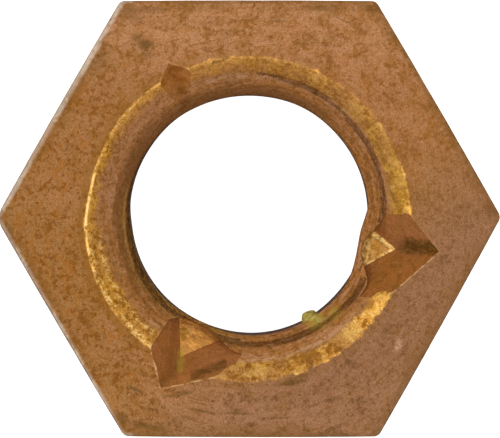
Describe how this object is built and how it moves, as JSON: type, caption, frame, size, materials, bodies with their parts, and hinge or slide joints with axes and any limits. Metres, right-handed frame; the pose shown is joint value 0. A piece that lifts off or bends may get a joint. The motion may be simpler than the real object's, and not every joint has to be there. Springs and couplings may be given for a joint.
{
  "type": "hex lock nut",
  "caption": "Hexagonal lock nut with a countersunk through thread and triangular stake marks on its top face that tighten the first threads.",
  "frame": {"origin": "centre of the flat bearing face, on the thread axis", "axes": "+Z along the thread axis towards the staked face; +X through a corner of the hexagon, the one beside the largest stake mark; +Y square to a pair of flats"},
  "size_m": [0.0164, 0.0142, 0.0083],
  "materials": {
    "aged_bronze": "dull oxidised copper alloy, worn bright on the countersink and in the stake marks",
    "verdigris": "matt green copper corrosion crust"
  },
  "bodies": {
    "root": {"hex_nut_body": "aged_bronze", "verdigris_deposit": "verdigris"}
  },
  "joints": []
}
